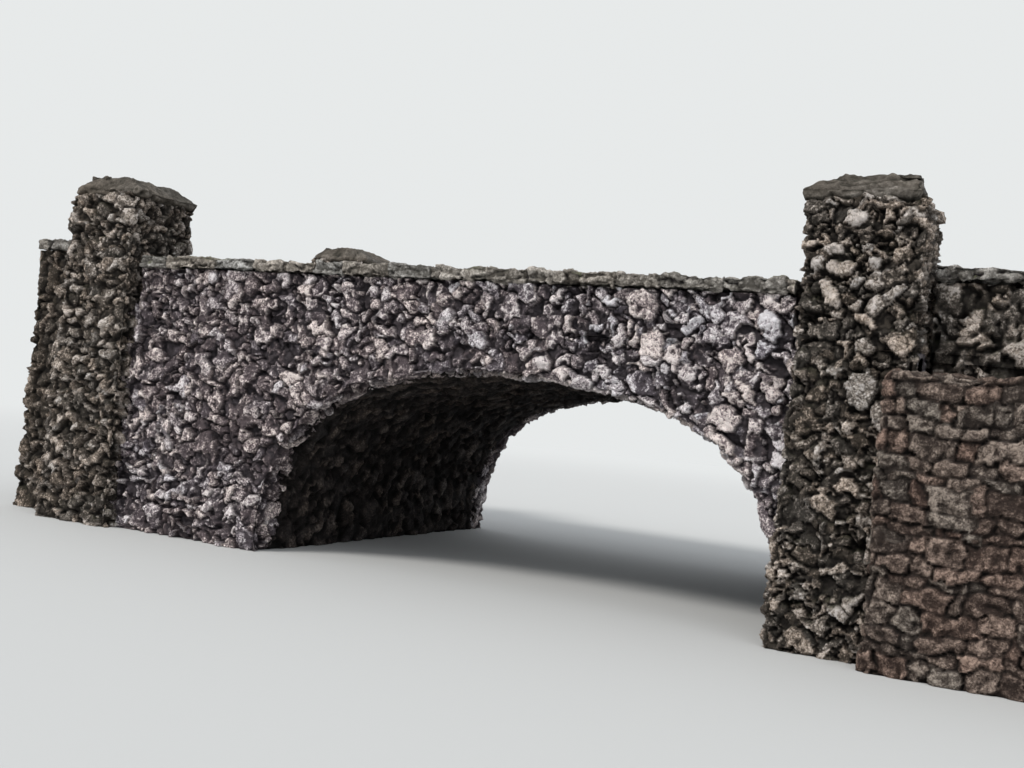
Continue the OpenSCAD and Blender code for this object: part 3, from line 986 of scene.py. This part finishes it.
def road():
    """The road between the wing walls, and its two edges between the walls over the arch."""
    a, b = low("road"), high("road")
    side = high("wing_front_right")[1]
    left, right = low("front_wall_left")[0], high("front_wall_right")[0]
    shell = Shell()
    brick(shell, cuts(a[0], b[0], ROAD), cuts(side, -side, ROAD), cuts(a[2], b[2], 0.05), {"z+", "x-", "x+"},
          radius=0.02)
    for ys in ((-INNER, side), (-side, INNER)):
        brick(shell, cuts(left, right, ROAD), cuts(*ys, ROAD), [a[2], b[2]], {"z+"}, radius=0.0001)
    piece("road", shell, earth_relief, "road_stone", SEED["road"])


for side in ("front", "back"):
    for end in ("left", "right"):
        haunch_wall(side, end)
    face_ring(side)
    parapet(side)
    for end in ("left", "right"):
        wing(side, end)
        pier(side, end)
        cap(side, end)
    low_wall(side)
    copings(side)
barrel()
for end in ("left", "right"):
    abutment(end)
    core(end)
road()

# Floor and backdrop. Far from the bridge the floor takes the backdrop's colour, for the camera only
BACKDROP = (0.80, 0.82, 0.82)
FLOOR = (0.45, 0.45, 0.44)
FADE = (11, 60)                                  # where it begins and ends, from the bridge's middle

bpy.ops.mesh.primitive_plane_add(size=400, location=(0, 0, -0.002))
floor = bpy.context.object
floor.name = "floor"
material = bpy.data.materials.new("floor")
material.use_nodes = True
floor.data.materials.append(material)
g = Graph(material.node_tree)
bsdf = g.tree.nodes["Principled BSDF"]
g.feed(bsdf.inputs["Base Color"], FLOOR)
g.feed(bsdf.inputs["Roughness"], 0.95)
far = g.node("VectorMath", operation="LENGTH")
g.feed(far.inputs[0], g.node("NewGeometry").outputs["Position"])
fade = g.ranged(*FADE, far.outputs["Value"], interpolation_type="SMOOTHERSTEP")
glow = g.node("Emission")
g.feed(glow.inputs["Color"], BACKDROP)
blend = g.node("MixShader")
g.feed(blend.inputs[0], g.calc("MULTIPLY", fade, g.node("LightPath").outputs["Is Camera Ray"]))
g.feed(blend.inputs[1], bsdf.outputs[0])
g.feed(blend.inputs[2], glow.outputs[0])
g.feed(g.tree.nodes["Material Output"].inputs[0], blend.outputs[0])

world = bpy.data.worlds.new("studio")
bpy.context.scene.world = world
world.use_nodes = True
g = Graph(world.node_tree)
g.tree.nodes.clear()
blend = g.node("MixShader")
for slot, color, strength in ((1, (0.89, 0.94, 1.0), 0.95), (2, BACKDROP, 1.0)):
    background = g.node("Background")
    g.feed(background.inputs[0], color)
    g.feed(background.inputs[1], strength)
    g.feed(blend.inputs[slot], background.outputs[0])
path = g.node("LightPath")
seen = path.outputs["Is Camera Ray"]
for other in ("Is Glossy Ray", "Is Transmission Ray"):
    seen = g.calc("MAXIMUM", seen, path.outputs[other])
g.feed(blend.inputs[0], seen)
g.feed(g.node("OutputWorld").inputs[0], blend.outputs[0])


# Light
def sun(name, along, angle, power, color):
    data = bpy.data.lights.new(name, "SUN")
    data.energy = power
    data.angle = math.radians(angle)
    data.color = color
    o = bpy.data.objects.new(name, data)
    o.rotation_mode = "QUATERNION"
    o.rotation_quaternion = Vector(along).to_track_quat("-Z", "Y")
    bpy.context.scene.collection.objects.link(o)


sun("sun", (0.5, 1.0, -1.1), 16, 2.5, (1, 0.975, 0.94))
sun("fill", (-0.6, 0.7, -0.9), 60, 0.5, (0.95, 0.98, 1))

# Camera, at the photograph's place, found by a fit to the arch's edges and the coping
WIDTH, FOCAL = 1024, 1124                        # the photograph's width and the lens, in its pixels
ASIDE, AWAY, EYE = 5.873, 11.738, 2.114          # right of the arch's middle, before its face, over the bed
YAW, PITCH, ROLL = math.radians(26.1), math.radians(-1.5), math.radians(5.7)

forward = Vector((-math.sin(YAW) * math.cos(PITCH), math.cos(YAW) * math.cos(PITCH), -math.sin(PITCH)))
level = Vector((math.cos(YAW), math.sin(YAW), 0))
upright = level.cross(forward)
right = math.cos(ROLL) * level + math.sin(ROLL) * upright
up = -math.sin(ROLL) * level + math.cos(ROLL) * upright
lens = bpy.data.cameras.new("camera")
lens.sensor_width = 36
lens.lens = FOCAL / WIDTH * lens.sensor_width
lens.clip_end = 500
camera = bpy.data.objects.new("camera", lens)
turn = Matrix((right, up, -forward)).transposed().to_4x4()
camera.matrix_world = Matrix.Translation((ASIDE, -AWAY - FACE, EYE)) @ turn
bpy.context.scene.collection.objects.link(camera)
bpy.context.scene.camera = camera
bpy.context.scene.view_settings.view_transform = "Standard"
